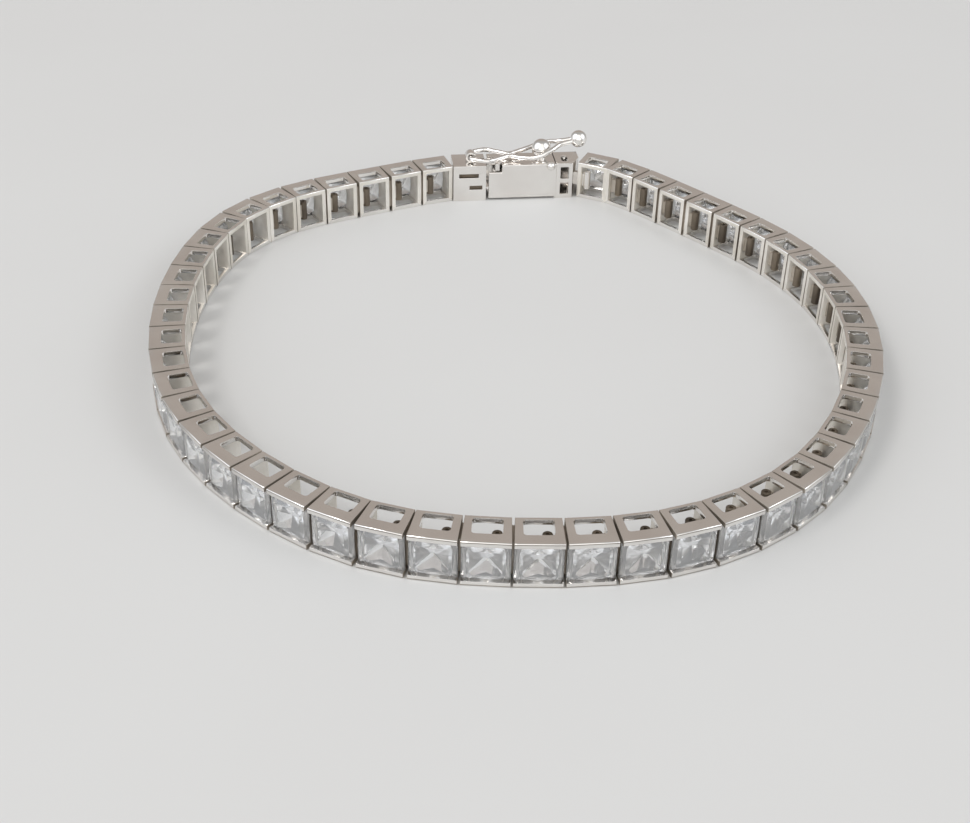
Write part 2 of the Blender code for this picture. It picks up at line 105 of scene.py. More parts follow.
# Hinge lugs
KNUCKLE_RADIUS = 0.36
KNUCKLE_INSET = 0.50
KNUCKLE_DROP = 0.55
KNUCKLE_EDGE = 0.05
KNUCKLE_BORE = 0.13
KNUCKLE_BORE_DEPTH = 0.10
SHOULDER_DROP = 0.10            # hinge shoulder below the flat sides' inner faces
SHOULDER_FRONT = -0.55
SHOULDER_BACK = 1.20
WEB = 0.40
WEB_DROP = 0.80
LUG_CLEARANCE = 0.12
NECK_START = 0.6                # of a round's radius, where its neck begins

# Clasp
CLASP_DEPTH = 3.0
CLASP_WALL = 0.38
CLASP_END_GAP = 0.32
BLOCK_LENGTH = 3.26
BLOCK_EDGE = 0.06
MOUTH_GAP = 0.25
BOX_LENGTH = 6.8
BOX_EDGE = 0.08
END_FRAME_LENGTH = 2.35
END_FRAME_EDGE = 0.05
BOX_FOOT = 0.20
END_FRAME_TAPER = 0.75
SLIT_HEIGHT = 0.42
SLIT_DEPTH = 0.30
UPPER_SLIT_AT = 0.66            # shares of the height
LOWER_SLIT_AT = 0.32
LOWER_SLIT_LENGTH = 0.6         # share of the upper one's
SLIT_MARGIN = 0.08              # faces deeper than this get the painted deep shade
SLOT_SIDE = 0.26                # room for the first link's lug
SLOT_DEPTH = 0.25

# Tongue
STRIP = 0.28
STRIP_FOLD = 2.2                # height of the folded end, in strip thicknesses
SMALL_EDGE = 0.04
TONGUE_REACH = 5.2
TONGUE_WIDTH = 1.6
TONGUE_SPREAD = 1.25
NOTCH_LENGTH = 1.3
NOTCH_WIDTH = 0.95
TAB_CLEARANCE = 0.15
TAB_RISE = 0.12

# Safety latch and what it closes on
WIRE_RADIUS = 0.23
HINGE_AT = 2.15
HINGE_TUBE = 0.52
HINGE_BORE = 0.32
HINGE_TUBE_LENGTH = 0.90
HINGE_SINK = 0.06
SNAP_BALL = 0.97
SNAP_BALL_RISE = 1.05
SNAP_NECK = 0.42
SNAP_FROM_END = 1.43
LATCH_REACH = 10.72
LATCH_BALL = 0.84
LATCH_BALL_RISE = 1.52
WAIST_BALL = 0.34
HEAD_RADIUS = 0.43
HEAD_FROM_END = 0.65
HEAD_DROP = 0.15
HEAD_SUNK = 0.8                 # share of the wall that the head sits in
LATCH_HALF_WIDTH = 1.40
LATCH_STEPS = 8
LATCH_SHAPE = [                 # shares of the reach, half width and ball rise
    (0.00, 0.58, 0.00), (0.08, 0.88, 0.00), (0.16, 1.00, 0.00), (0.27, 0.52, 0.00),
    (0.36, 0.20, 0.00), (0.46, 0.60, 0.02), (0.57, 0.97, 0.12), (0.66, 1.00, 0.34),
    (0.75, 0.72, 0.58), (0.82, 0.34, 0.74), (0.92, 0.22, 0.88), (1.00, 0.18, 1.00),
]

# Route of the hinge lines, before it is sized to the links and the clasp
ROUTE = [
    (6.8, 30.0), (10.0, 28.5), (13.2, 25.7), (18.1, 20.5), (23.9, 13.5), (27.3, 5.7),
    (27.9, -4.5), (25.2, -14.3), (19.8, -22.7), (10.3, -28.7), (0.0, -30.1),
    (-9.2, -28.9), (-17.7, -23.8), (-24.6, -15.3), (-27.7, -5.6), (-28.1, 5.6),
    (-25.0, 16.2), (-21.1, 20.5), (-14.2, 24.6), (-7.0, 28.1), (1.8, 30.1),
]
ROUTE_STEPS = 60
ROUTE_SIZES = (0.3, 3.0)
SIZE_HALVINGS = 60
CHORD_HALVINGS = 40

# Metals: light and dark colour, roughness from and to, bumps' height and grain
METALS = {
    "polished_white_metal": ((0.87, 0.85, 0.82), (0.80, 0.77, 0.74), 0.10, 0.2, 1.2e-6, 5200.0),
    "cast_white_metal": ((0.93, 0.90, 0.85), (0.78, 0.74, 0.67), 0.42, 0.62, 14e-6, 3000.0),
    # painted shade: darker metal that stands in for the shade in the gaps between links and in
    # the seam grooves
    "painted_shade_white_metal": ((0.56, 0.51, 0.45), (0.38, 0.34, 0.29), 0.45, 0.65, 8e-6, 3000.0),
    # painted deep shade: the darkest metal, standing in for the shade on the knuckle and deep in
    # the clasp's slits
    "painted_deep_shade_white_metal": ((0.24, 0.20, 0.155), (0.12, 0.10, 0.08), 0.45, 0.65, 8e-6, 3000.0),
}
METAL_CLOUDS = 260.0
METAL_CLOUD_RANGE = (0.35, 0.65)
METAL_SMEARS = 900.0
POLISHED, CAST, PAINTED_SHADE, PAINTED_DEEP_SHADE = range(4)
CLASP_POLISHED, CLASP_PAINTED_DEEP_SHADE = range(2)

# Stone and floor
STONE_TRANSMISSION = 0.85
STONE_IOR = 2.1
STONE_CLOUDS = 420.0
STONE_COLOURS = ((0.93, 0.96, 1.0), (1.0, 0.99, 0.97))
FLOOR_HALF = 2
FLOOR_ROUGHNESS = 0.5
FLOOR_CLOUDS = 30.0
FLOOR_COLOURS = ((0.615, 0.61, 0.60), (0.64, 0.64, 0.63))

# Room: each patch has its direction, the cosines at its rim and core, and a colour
ROOM_COLOUR = (0.56, 0.56, 0.555)
ROOM_STRENGTH = 0.80
ROOM_PATCHES = [
    ((0.0, 0.86, 0.51), 0.72, 0.95, (0.55, 0.495, 0.455)),
    ((0.0, -0.97, 0.24), 0.74, 0.92, (1.70, 1.70, 1.70)),
    ((0.0, -0.60, 0.80), 0.86, 0.95, (1.60, 1.58, 1.55)),
    ((-0.80, -0.25, 0.55), 0.76, 0.90, (1.75, 1.8, 1.9)),
    ((0.82, -0.20, 0.53), 0.80, 0.92, (1.6, 1.64, 1.7)),
]
LIGHTS = [                      # name, place in metres, side, power, colour
    ("key", (-0.35, -0.25, 0.6), 0.22, 1.3, (1.0, 0.98, 0.95)),
    ("fill", (0.45, -0.15, 0.4), 0.2, 0.4, (0.92, 0.96, 1.0)),
]

# Camera
FOCUS = 1435.0                  # in the same unit as the picture's width
PICTURE_WIDTH = 970.0
SENSOR_WIDTH = 36.0
CLIP = (0.002, 20.0)
CAMERA_AT = (-2.28, -103.5, 62.0)
CAMERA_DOWN = 33.74
CAMERA_ROLL = 1.45

# Derived sizes
LINK_LENGTH = LINK_PITCH - LINK_GAP
STONE_FACE = -LINK_DEPTH / 2
WRIST_FACE = LINK_DEPTH / 2
CAVITY_HALF = LINK_LENGTH / 2 - END_WALL
KNUCKLE_Y = WRIST_FACE - KNUCKLE_INSET
KNUCKLE_X = LINK_PITCH - CAVITY_HALF + LUG_CLEARANCE + KNUCKLE_RADIUS
LUG_LOW = PLATE + KNUCKLE_DROP
LUG_HIGH = LINK_HEIGHT - PLATE - KNUCKLE_DROP
WEB_LOW = PLATE + WEB_DROP
WEB_HIGH = LINK_HEIGHT - PLATE - WEB_DROP
SEAT_Y = STONE_FACE + TABLE_RECESS + CROWN + GIRDLE / 2
CLASP_HALF = CLASP_DEPTH / 2
BLOCK_START = CLASP_END_GAP
BLOCK_END = BLOCK_START + BLOCK_LENGTH
BOX_START = BLOCK_END + MOUTH_GAP
BOX_END = BOX_START + BOX_LENGTH
FRAME_END = BOX_END + END_FRAME_LENGTH
CLASP_LENGTH = FRAME_END + CLASP_END_GAP
HINGE_Z = LINK_HEIGHT + HINGE_TUBE - HINGE_SINK
INSIDE_HALF = CLASP_HALF - CLASP_WALL
INSIDE_TOP = LINK_HEIGHT - CLASP_WALL
INSIDE_FLOOR = BOX_FOOT + CLASP_WALL
NOTCH_FLOOR = INSIDE_TOP - CLASP_WALL
SNAP_AT = BOX_END - SNAP_FROM_END
OVERRUN = 1.0                   # of cutters beyond what they cut


# Mesh pieces

def taken(builder):
    """The builder's faces as a new mesh."""
    mesh = bpy.data.meshes.new("piece")
    builder.to_mesh(mesh)
    builder.free()
    return mesh


def make_mesh(vertices, faces):
    mesh = bpy.data.meshes.new("piece")
    mesh.from_pydata([tuple(v) for v in vertices], [], faces)
    builder = bmesh.new()
    builder.from_mesh(mesh)
    bmesh.ops.recalc_face_normals(builder, faces=builder.faces)
    builder.to_mesh(mesh)
    builder.free()
    return mesh


def prism(outline, low, high):
    count = len(outline)
    vertices = [(x, y, low) for x, y in outline] + [(x, y, high) for x, y in outline]
    faces = [tuple(reversed(range(count))), tuple(range(count, 2 * count))]
    faces += [(i, (i + 1) % count, count + (i + 1) % count, count + i) for i in range(count)]
    return make_mesh(vertices, faces)


def block(low, high):
    (x0, y0, z0), (x1, y1, z1) = low, high
    return prism([(x0, y0), (x1, y0), (x1, y1), (x0, y1)], z0, z1)


def along_y(mesh):
    mesh.transform(Matrix.Rotation(math.pi / 2, 4, "X"))
    return mesh


def circle(centre, radius, sides):
    return [(centre[0] + radius * math.cos(2 * math.pi * i / sides),
             centre[1] + radius * math.sin(2 * math.pi * i / sides)) for i in range(sides)]


def rounded_rectangle(x0, x1, y0, y1, corner, steps=4):
    points = []
    for cx, cy, start in ((x1 - corner, y1 - corner, 0), (x0 + corner, y1 - corner, 90),
                          (x0 + corner, y0 + corner, 180), (x1 - corner, y0 + corner, 270)):
        for k in range(steps + 1):
            a = math.radians(start + 90 * k / steps)
            points.append((cx + corner * math.cos(a), cy + corner * math.sin(a)))
    return points


def ball(centre, radius, sides, rings):
    builder = bmesh.new()
    bmesh.ops.create_uvsphere(builder, u_segments=sides, v_segments=rings, radius=radius,
                              matrix=Matrix.Translation(centre))
    return taken(builder)


def sweep(path, radius, sides=14):
    """A round wire along the path."""
    points = [Vector(p) for p in path]
    vertices, faces = [], []
    side_axis = None
    for i, point in enumerate(points):
        forward = (points[min(i + 1, len(points) - 1)] - points[max(i - 1, 0)]).normalized()
        if side_axis is None:
            side_axis = forward.cross(Vector((0, 0, 1))).normalized()
        side_axis = (side_axis - forward * side_axis.dot(forward)).normalized()
        up_axis = side_axis.cross(forward).normalized()
        for k in range(sides):
            angle = 2 * math.pi * k / sides
            spoke = math.cos(angle) * side_axis + math.sin(angle) * up_axis
            vertices.append(point + radius * spoke)
    for i in range(len(points) - 1):
        for k in range(sides):
            a, b = i * sides + k, i * sides + (k + 1) % sides
            faces.append((a, a + sides, b + sides, b))
    faces.append(tuple(range(sides)))
    faces.append(tuple(reversed(range((len(points) - 1) * sides, len(points) * sides))))
    return make_mesh(vertices, faces)


def linked(thing):
    """Puts an object into the scene."""
    bpy.context.scene.collection.objects.link(thing)
    return thing


def evaluated(host):
    graph = bpy.context.evaluated_depsgraph_get()
    return bpy.data.meshes.new_from_object(host.evaluated_get(graph))


def combine(base, others, operation):
    host = linked(bpy.data.objects.new("host", base))
    group = bpy.data.collections.new("operands")
    bpy.context.scene.collection.children.link(group)
    for mesh in others:
        group.objects.link(bpy.data.objects.new("operand", mesh))
    modifier = host.modifiers.new("combine", "BOOLEAN")
    modifier.solver = "EXACT"
    modifier.operation = operation
    modifier.operand_type = "COLLECTION"
    modifier.collection = group
    result = evaluated(host)
    for thing in list(group.objects) + [host]:
        bpy.data.objects.remove(thing, do_unlink=True)
    bpy.data.collections.remove(group)
    return result


def union(base, others):
    return combine(base, others, "UNION")


def cut(base, cutters):
    return combine(base, cutters, "DIFFERENCE")


def soften(mesh, width, segments, angle=28):
    """Rounds the edges that are sharper than the angle, in degrees."""
    host = linked(bpy.data.objects.new("host", mesh))
    modifier = host.modifiers.new("soften", "BEVEL")
    modifier.width = width
    modifier.segments = segments
    modifier.limit_method = "ANGLE"
    modifier.angle_limit = math.radians(angle)
    modifier.use_clamp_overlap = True
    result = evaluated(host)
    bpy.data.objects.remove(host, do_unlink=True)
    return result


def round_long_edges(mesh, width, segments):
    """Rounds the edges that run mostly along X."""
    builder = bmesh.new()
    builder.from_mesh(mesh)
    edges = []
    for edge in builder.edges:
        run = edge.verts[1].co - edge.verts[0].co
        if abs(run.x) > abs(run.y) and abs(run.x) > abs(run.z):
            edges.append(edge)
    bmesh.ops.bevel(builder, geom=edges, offset=width, segments=segments, profile=0.5,
                    affect="EDGES")
    builder.to_mesh(mesh)
    builder.free()
    return mesh


def joined(parts):
    """One mesh from (mesh, matrix) parts, still apart inside it."""
    builder = bmesh.new()
    for mesh, matrix in parts:
        before = len(builder.verts)
        builder.from_mesh(mesh)
        builder.verts.ensure_lookup_table()
        for vertex in builder.verts[before:]:
            vertex.co = matrix @ vertex.co
    return taken(builder)


def smooth(mesh, angle=40):
    for polygon in mesh.polygons:
        polygon.use_smooth = True
    mesh.set_sharp_from_angle(angle=math.radians(angle))
    return mesh


# Stones

def cut_stone():
    """A square brilliant as the hull of its corners.

    The back's facets fan out from each corner to the middle line of either
    side, so that the corners' ribs make a cross seen from the front.
    """
    front = STONE_FACE + TABLE_RECESS
    builder = bmesh.new()

    def corner(x, depth, z):
        builder.verts.new((x * STONE_HALF_LENGTH, front + depth,
                           LINK_HEIGHT / 2 + z * STONE_HALF_HEIGHT))

    for x, z in ((1, 1), (1, -1), (-1, 1), (-1, -1)):
        corner(x, CROWN, z)
        corner(x, CROWN + GIRDLE, z)
        corner(x * STONE_TABLE, 0, z * (STONE_TABLE - STONE_TABLE_CORNER))
        corner(x * (STONE_TABLE - STONE_TABLE_CORNER), 0, z * STONE_TABLE)
        corner(x * CROWN_CORNER[0], CROWN * CROWN_CORNER[1], z * CROWN_CORNER[0])
    for x, z in ((1, 0), (-1, 0), (0, 1), (0, -1)):
        corner(x * CROWN_SIDE[0], CROWN * CROWN_SIDE[1], z * CROWN_SIDE[0])
        for reach, depth in STONE_PAVILION:
            corner(x * reach, CROWN + GIRDLE + depth, z * reach)
    bmesh.ops.convex_hull(builder, input=builder.verts[:])
    bmesh.ops.dissolve_limit(builder, angle_limit=math.radians(STONE_FLAT),
                             verts=builder.verts[:], edges=builder.edges[:])
    bmesh.ops.recalc_face_normals(builder, faces=builder.faces)
    return taken(builder)


# Links

def lug(longer=0.0):
    """The web and centre-punched knuckle that reach back into the link before."""
    root = -CAVITY_HALF - END_WALL / 2 + longer
    half = WEB / 2
    neck = -KNUCKLE_X + KNUCKLE_RADIUS * NECK_START
    centre = (-KNUCKLE_X, KNUCKLE_Y)
    web = block((neck, KNUCKLE_Y - half, WEB_LOW), (root, KNUCKLE_Y + half, WEB_HIGH))
    post = prism(circle(centre, KNUCKLE_RADIUS, sides=20), LUG_LOW, LUG_HIGH)
    post = soften(post, KNUCKLE_EDGE, 2)
    marks = [prism(circle(centre, KNUCKLE_BORE, sides=12), low, low + 2 * KNUCKLE_BORE_DEPTH)
             for low in (LUG_LOW - KNUCKLE_BORE_DEPTH, LUG_HIGH - KNUCKLE_BORE_DEPTH)]
    return cut(union(post, [web]), marks)


def shoulder():
    """Fills most of the gap to the link before, out of sight of the windows; its faces take the
    painted shade that stands in for the shade in the gap.
    """
    drop = PLATE + SHOULDER_DROP
    return block((-LINK_LENGTH / 2 - LINK_GAP - END_WALL / 2, SHOULDER_FRONT, drop),
                 (-CAVITY_HALF - END_WALL / 2, SHOULDER_BACK, LINK_HEIGHT - drop))


def link_look(polygon):
    """Which metal a face of a setting shows, with painted shade in the gaps, the seam grooves
    and round the knuckle.
    """
    x, y, z = polygon.center
    far = LINK_LENGTH / 2
    inner = CAVITY_HALF + OVERLAP
    # the knuckle, deep inside the link before, gets the darkest painted shade
    if -x > KNUCKLE_X - REACH * KNUCKLE_RADIUS:
        return PAINTED_DEEP_SHADE
    end = far - LINK_TAPER * (y - STONE_FACE) / LINK_DEPTH
    facing_link = end - abs(x) < REACH * INNER_EDGE and abs(polygon.normal.x) > FACING
    to_seam = min(abs(z - SEAM_AT), abs(z - LINK_HEIGHT + SEAM_AT))
    in_seam = SKIN < y - STONE_FACE < REACH * SEAM and to_seam < REACH * SEAM / 2
    on_lug = -x > max(inner, far)
    # the lug, the shoulder, the faces towards the next link and the seam grooves get painted
    # shade, standing in for the shade between the links
    if on_lug or facing_link or in_seam:
        return PAINTED_SHADE
    between_plates = PLATE + OVERLAP < z < LINK_HEIGHT - PLATE - OVERLAP
    return CAST if abs(x) < inner and between_plates and y > SEAT_Y else POLISHED


def setting():
    """A link's metal, with its end walls, rails, windows and lug."""
    far = LINK_LENGTH / 2
    near = far - LINK_TAPER
    top = LINK_HEIGHT - PLATE
    body = prism([(-far, STONE_FACE), (far, STONE_FACE), (near, WRIST_FACE),
                  (-near, WRIST_FACE)], 0, LINK_HEIGHT)
    body = round_long_edges(body, EDGE, 4)
    seat = block((-far - OVERRUN, STONE_FACE - OVERRUN, PLATE), (far + OVERRUN, SEAT_Y, top))
    cavity = block((-CAVITY_HALF, SEAT_Y - OVERLAP, PLATE),
                   (CAVITY_HALF, WRIST_FACE + OVERRUN, top))
    window_half = far - WINDOW_END_BORDER
    window = prism(rounded_rectangle(-window_half, window_half,
                                     STONE_FACE + WINDOW_STONE_BORDER,
                                     WRIST_FACE - WINDOW_WRIST_BORDER, WINDOW_CORNER),
                   -OVERRUN, LINK_HEIGHT + OVERRUN)
    for cutter in (seat, cavity, window):
        body = cut(body, [cutter])
    body = soften(body, INNER_EDGE, 2, 60)
    seams = [block((-far - OVERRUN, STONE_FACE - OVERRUN, middle - SEAM / 2),
                   (far + OVERRUN, STONE_FACE + SEAM, middle + SEAM / 2))
             for middle in (SEAM_AT, LINK_HEIGHT - SEAM_AT)]
    body = cut(body, seams)
    for addition in (lug(), shoulder()):
        body = union(body, [addition])
    for polygon in body.polygons:
        polygon.material_index = link_look(polygon)
    return smooth(body, 35)


# Route

def closed_curve(points, steps):
    """A closed cubic spline through the points."""
    knots = np.array(points, dtype=float)
    count = len(knots)
    spans = np.linalg.norm(np.roll(knots, -1, axis=0) - knots, axis=1)
    system = np.zeros((count, count))
    known = np.zeros((count, 2))
    for i in range(count):
        before, after, following = spans[i - 1], spans[i], (i + 1) % count
        system[i, i - 1] += before
        system[i, i] += 2 * (before + after)
        system[i, following] += after
        known[i] = 6 * ((knots[following] - knots[i]) / after
                        - (knots[i] - knots[i - 1]) / before)
    bend = np.linalg.solve(system, known)
    curve = []
    for i in range(count):
        j, span = (i + 1) % count, spans[i]
        for step in range(steps):
            t = span * step / steps
            left = span - t
            curve.append((bend[i] * left ** 3 + bend[j] * t ** 3) / (6 * span)
                         + (knots[i] / span - bend[i] * span / 6) * left
                         + (knots[j] / span - bend[j] * span / 6) * t)
    return np.array(curve)


def chord(curve, index, point, length):
    """The next point on the curve at the length from the point, and the steps passed."""
    for count in range(1, len(curve)):
        ahead = curve[(index + count) % len(curve)]
        if np.linalg.norm(ahead - point) < length:
            continue
        behind = curve[(index + count - 1) % len(curve)]
        low, high = 0.0, 1.0
        for _ in range(CHORD_HALVINGS):
            share = (low + high) / 2
            if np.linalg.norm(behind + (ahead - behind) * share - point) < length:
                low = share
            else:
                high = share
        return (index + count - 1) % len(curve), behind + (ahead - behind) * high, count - 1
    raise ValueError("the route is too small for its clasp")


def hinge_lines():
    """The hinge lines from the tongue's end to the box's, on the route sized to close."""
    base = closed_curve(ROUTE, ROUTE_STEPS)
    low, high = ROUTE_SIZES
    for _ in range(SIZE_HALVINGS):
        size = (low + high) / 2
        curve = base * size
        index, point, passed = 0, curve[0], 0
        points = [point]
        for _ in range(2 * LINKS_PER_HALF):
            index, point, steps = chord(curve, index, point, LINK_PITCH)
            passed += steps
            points.append(point)
        passed += chord(curve, index, point, CLASP_LENGTH)[2]
        if passed >= len(curve) - 1:
            low = size
        else:
            high = size
    points.reverse()
    return points


def heading(start, end):
    """Turns local X to run from the start to the end."""
    return Matrix.Rotation(math.atan2(end[1] - start[1], end[0] - start[0]), 4, "Z")


def link_place(start, end):
    middle = (start + end) / 2
    return Matrix.Translation((middle[0], middle[1], 0)) @ heading(start, end)


def frame_shift(hinges):
    """How far the frame's origin lies from the route's, in millimetres."""
    far = (LINK_PITCH - SOLID_LINK_GAP) / 2
    near = far - LINK_TAPER
    outline = [Vector((x, y, 0)) for x, y in ((-far, STONE_FACE), (far, STONE_FACE),
                                              (near, WRIST_FACE), (-near, WRIST_FACE))]
    corners = []
    for i in range(LINKS_PER_HALF):
        place = link_place(hinges[i], hinges[i + 1])
        corners += [place @ corner for corner in outline]
    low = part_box("chain_left")[0] / MM
    return Vector((low.x - min(c.x for c in corners), low.y - min(c.y for c in corners), 0))


# Clasp: local X from the left hinge line to the right one, local Y away from the wrist

def tongue_base():
    """The block at the tongue's root: two sunk slits and a slot for the first link's lug."""
    start, end = BLOCK_START + CLASP_WALL, BLOCK_END - CLASP_WALL
    length = end - start - CLASP_WALL
    slits = []
    for x0, x1, share in ((start + CLASP_WALL / 2, start + length, UPPER_SLIT_AT),
                          (end - length * LOWER_SLIT_LENGTH, end, LOWER_SLIT_AT)):
        low = LINK_HEIGHT * share
        slits.append(block((x0, -CLASP_HALF - OVERRUN, low),
                           (x1, -CLASP_HALF + SLIT_DEPTH, low + SLIT_HEIGHT)))
    half = WEB / 2 + SLOT_SIDE
    slot = block((BLOCK_START - OVERRUN, -KNUCKLE_Y - half, WEB_LOW - LUG_CLEARANCE),
                 (BLOCK_START + CLASP_WALL + SLOT_DEPTH, -KNUCKLE_Y + half,
                  WEB_HIGH + LUG_CLEARANCE))
    base = block((BLOCK_START, -CLASP_HALF, 0), (BLOCK_END, CLASP_HALF, LINK_HEIGHT))
    base = soften(cut(cut(base, slits), [slot]), BLOCK_EDGE, 3)
    # faces deep in the slits take the painted deep shade, standing in for the shade inside them
    for polygon in base.polygons:
        x, y, z = polygon.center
        sunk = -CLASP_HALF + SLIT_MARGIN < y < 0 and start < x < end
        in_slit = sunk and PLATE < z < LINK_HEIGHT - PLATE
        polygon.material_index = CLASP_PAINTED_DEEP_SHADE if in_slit else CLASP_POLISHED
    return base


def hinge_tube():
    centre, length = (HINGE_AT, HINGE_Z), HINGE_TUBE_LENGTH
    tube = along_y(prism(circle(centre, HINGE_TUBE, sides=28), -length / 2, length / 2))
    bore = along_y(prism(circle(centre, HINGE_BORE, sides=24), -length, length))
    return soften(cut(tube, [bore]), SMALL_EDGE, 2)


def tongue_strip():
    """The folded spring strip with the stem and head of its thumb tab."""
    low, tip = INSIDE_FLOOR + STRIP, BLOCK_END + TONGUE_REACH
    root, rise, tab = BLOCK_END - CLASP_WALL / 2, TONGUE_SPREAD, BOX_START + NOTCH_LENGTH / 2
    outline = [(root, low), (tip, low), (tip + STRIP, low + STRIP),
               (tip, low + STRIP_FOLD * STRIP),
               (tab + STRIP, low + STRIP + rise), (tab, low + STRIP + rise),
               (tab, low + rise), (tip - 2 * STRIP, low + STRIP), (root, low + STRIP)]
    strip = along_y(prism(outline, -TONGUE_WIDTH / 2, TONGUE_WIDTH / 2))
    inside = -CLASP_HALF + NOTCH_WIDTH - TAB_CLEARANCE
    stem = block((tab + STRIP / 4, -INSIDE_HALF + TAB_CLEARANCE,
                  INSIDE_FLOOR + STRIP + rise + STRIP / 4),
                 (tab + STRIP * 5 / 4, inside, LINK_HEIGHT))
    head = block((tab, -CLASP_HALF + TAB_CLEARANCE, NOTCH_FLOOR + TAB_CLEARANCE),
                 (tab + STRIP * 3 / 2, inside + TAB_CLEARANCE / 3, LINK_HEIGHT + TAB_RISE))
    return soften(union(union(strip, [stem]), [head]), SMALL_EDGE, 2)


def clasp_box():
    box = block((BOX_START, -CLASP_HALF, BOX_FOOT), (BOX_END, CLASP_HALF, LINK_HEIGHT))
    inside = block((BOX_START - OVERRUN, -INSIDE_HALF, INSIDE_FLOOR),
                   (BOX_END - CLASP_WALL, INSIDE_HALF, INSIDE_TOP))
    notch = block((BOX_START - OVERRUN, -CLASP_HALF - OVERRUN, NOTCH_FLOOR),
                  (BOX_START + NOTCH_LENGTH, -CLASP_HALF + NOTCH_WIDTH, LINK_HEIGHT + OVERRUN))
    return soften(cut(cut(box, [inside]), [notch]), BOX_EDGE, 3)


def end_frame():
    """The open frame that holds the right-hand chain."""
    start, half = BOX_END - CLASP_WALL / 2, LINK_DEPTH / 2
    inner_start, inner_end = BOX_END + CLASP_WALL, FRAME_END - CLASP_WALL
    opening_end = inner_end - END_FRAME_TAPER
    bar, middle, top = CLASP_WALL / 2, LINK_HEIGHT / 2, LINK_HEIGHT - PLATE
    frame = prism([(start, -half), (FRAME_END - END_FRAME_TAPER, -half), (FRAME_END, 0),
                   (FRAME_END, half), (start, half)], 0, LINK_HEIGHT)
    hollow = prism([(inner_start, -half + CLASP_WALL), (opening_end, -half + CLASP_WALL),
                    (inner_end, 0), (inner_end, half - CLASP_WALL),
                    (inner_start, half - CLASP_WALL)], PLATE, top)
    openings = [block((inner_start, -half - OVERRUN, PLATE), (opening_end, 0, middle - bar)),
                block((inner_start, -half - OVERRUN, middle + bar), (opening_end, 0, top))]
    window = prism(rounded_rectangle(inner_start + bar, opening_end,
                                     -half + 2 * WINDOW_WRIST_BORDER,
                                     half - WINDOW_STONE_BORDER, WINDOW_CORNER),
                   middle, LINK_HEIGHT + OVERRUN)
    for cutters in ([hollow], openings, [window]):
        frame = cut(frame, cutters)
    return soften(frame, END_FRAME_EDGE, 2)


def snap_meshes():
    """The ball that the latch closes over, its neck and the small round head beside it."""
    neck = prism(circle((SNAP_AT, 0), SNAP_NECK, sides=24), LINK_HEIGHT - CLASP_WALL / 2,
                 LINK_HEIGHT + SNAP_BALL_RISE - SNAP_BALL * NECK_START)
    snap = ball((SNAP_AT, 0, LINK_HEIGHT + SNAP_BALL_RISE), SNAP_BALL, sides=40, rings=24)
    head = ball((BOX_END - HEAD_FROM_END, -CLASP_HALF - HEAD_RADIUS + CLASP_WALL * HEAD_SUNK,
                 LINK_HEIGHT - HEAD_DROP), HEAD_RADIUS, sides=28, rings=16)
    return [neck, snap, head]


def end_lug(place):
    mesh = lug(END_FRAME_TAPER)
    mesh.transform(place)
    return mesh


def smooth_run(stations, steps):
    """A smooth curve through the stations."""
    points = []
    for i in range(len(stations) - 1):
        before = stations[max(i - 1, 0)]
        start, end = stations[i], stations[i + 1]
        after = stations[min(i + 2, len(stations) - 1)]
        for step in range(steps):
            t = step / steps
            points.append(0.5 * ((2 * start) + (end - before) * t
                                 + (2 * before - 5 * start + 4 * end - after) * t ** 2
                                 + (3 * start - before - 3 * end + after) * t ** 3))
    points.append(stations[-1])
    return points


def latch_meshes():
    """The figure-of-eight wire with the balls at its waist and its end."""
    stations = [Vector((along * LATCH_REACH, wide * LATCH_HALF_WIDTH, rise * LATCH_BALL_RISE))
                for along, wide, rise in LATCH_SHAPE]
    side = smooth_run(stations, LATCH_STEPS)
    path = list(reversed(side)) + [Vector((p.x, -p.y, p.z)) for p in side]
    waist = min(stations[1:-2], key=lambda p: p.y)
    return [sweep(path, WIRE_RADIUS),
            ball((waist.x, 0, 0), WAIST_BALL, sides=24, rings=14),
            ball((LATCH_REACH, 0, LATCH_BALL_RISE), LATCH_BALL, sides=36, rings=22)]


# Materials

def new_material(name):
    material = bpy.data.materials.new(name)
    material.use_nodes = True
    tree = material.node_tree
    return material, tree, tree.nodes["Principled BSDF"]


def add(tree, kind, **values):
    node = tree.nodes.new(kind)
    for key, value in values.items():
        if key in node.inputs:
            node.inputs[key].default_value = value
        else:
            setattr(node, key, value)
    return node


def noise_of(tree, scale, detail):
    place = add(tree, "ShaderNodeTexCoord")
    noise = add(tree, "ShaderNodeTexNoise", Scale=scale, Detail=detail)
    tree.links.new(place.outputs["Object"], noise.inputs["Vector"])
    return noise.outputs["Fac"]


def spread(tree, source, low, high, from_low=0.3, from_high=0.7):
    """The source's range stretched to run from low to high."""
    node = add(tree, "ShaderNodeMapRange")
    for key, value in (("From Min", from_low), ("From Max", from_high),
                       ("To Min", low), ("To Max", high)):
        node.inputs[key].default_value = value
    tree.links.new(source, node.inputs["Value"])
    return node.outputs["Result"]


def cloud(tree, shader, scale, detail, colours, ends=(0.0, 1.0)):
    """Base colour that drifts between two colours."""
    ramp = add(tree, "ShaderNodeValToRGB")
    for element, position, colour in zip(ramp.color_ramp.elements, ends, colours):
        element.position = position
        element.color = (*colour, 1)
    tree.links.new(noise_of(tree, scale, detail), ramp.inputs["Fac"])
    tree.links.new(ramp.outputs["Color"], shader.inputs["Base Color"])


